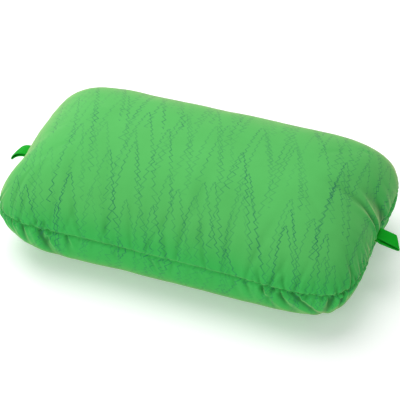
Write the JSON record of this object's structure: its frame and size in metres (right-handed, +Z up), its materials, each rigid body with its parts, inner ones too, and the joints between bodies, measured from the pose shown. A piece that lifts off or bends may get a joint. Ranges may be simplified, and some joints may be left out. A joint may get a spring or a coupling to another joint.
{
  "type": "camp pillow",
  "caption": "Soft rectangular camp pillow: two printed cloth panels round a foam-filled liner, a zip in the back seam and a folded tape loop at each end.",
  "frame": {"origin": "middle of the flat face that the pillow rests on", "axes": "+X along the pillow's length, from the closed end of the zip to its open end; +Y from the front long side to the back long side with the zip; +Z up"},
  "size_m": [0.4214, 0.2299, 0.1185],
  "materials": {
    "printed_cover": "soft brushed stretch knit, leaf green with a darker green print of thin jagged lines",
    "liner_cloth": "thin white lining cloth",
    "foam": "cream polyurethane foam",
    "thread": "green polyester thread",
    "loop_tape": "ribbed woven tape, deeper green than the cover",
    "zip_tape": "woven zip tape, green",
    "zip_coil": "green nylon coil",
    "zip_stop": "moulded green plastic",
    "zip_metal": "green painted die-cast metal"
  },
  "bodies": {
    "pillow": {"cover_top_panel": "printed_cover", "cover_bottom_panel": "printed_cover", "liner_top_panel": "liner_cloth", "liner_bottom_panel": "liner_cloth", "foam_fill": "foam", "seam_thread_front": "thread", "seam_thread_back_left": "thread", "seam_thread_back_right": "thread", "loop_left_tail": "loop_tape", "loop_right_tail": "loop_tape", "zip_tape_upper": "zip_tape", "zip_tape_lower": "zip_tape", "zip_coil_upper": "zip_coil", "zip_coil_lower": "zip_coil", "zip_top_stop_upper": "zip_stop", "zip_top_stop_lower": "zip_stop", "zip_bottom_stop": "zip_stop", "zip_thread_upper": "thread", "zip_thread_lower": "thread"},
    "loop_left": {"loop_left": "loop_tape"},
    "loop_right": {"loop_right": "loop_tape"},
    "zip_slider": {"zip_slider": "zip_metal"},
    "zip_pull": {"zip_pull": "zip_metal"}
  },
  "joints": [
    {"name": "loop_left_bend", "type": "hinge", "parent": "pillow", "child": "loop_left", "pos_m": [-0.1896, 0, 0.056], "axis": [0, 1, 0], "range_deg": [-45, 80]},
    {"name": "loop_right_bend", "type": "hinge", "parent": "pillow", "child": "loop_right", "pos_m": [0.1896, 0, 0.056], "axis": [0, -1, 0], "range_deg": [-45, 80]},
    {"name": "zip_travel", "type": "slide", "parent": "pillow", "child": "zip_slider", "axis": [1, 0, 0], "range_m": [0, 0.155]},
    {"name": "zip_pull_turn", "type": "hinge", "parent": "zip_slider", "child": "zip_pull", "pos_m": [-0.0775, 0.11335, 0.056], "axis": [0, 0, 1], "range_deg": [0, 170]}
  ]
}
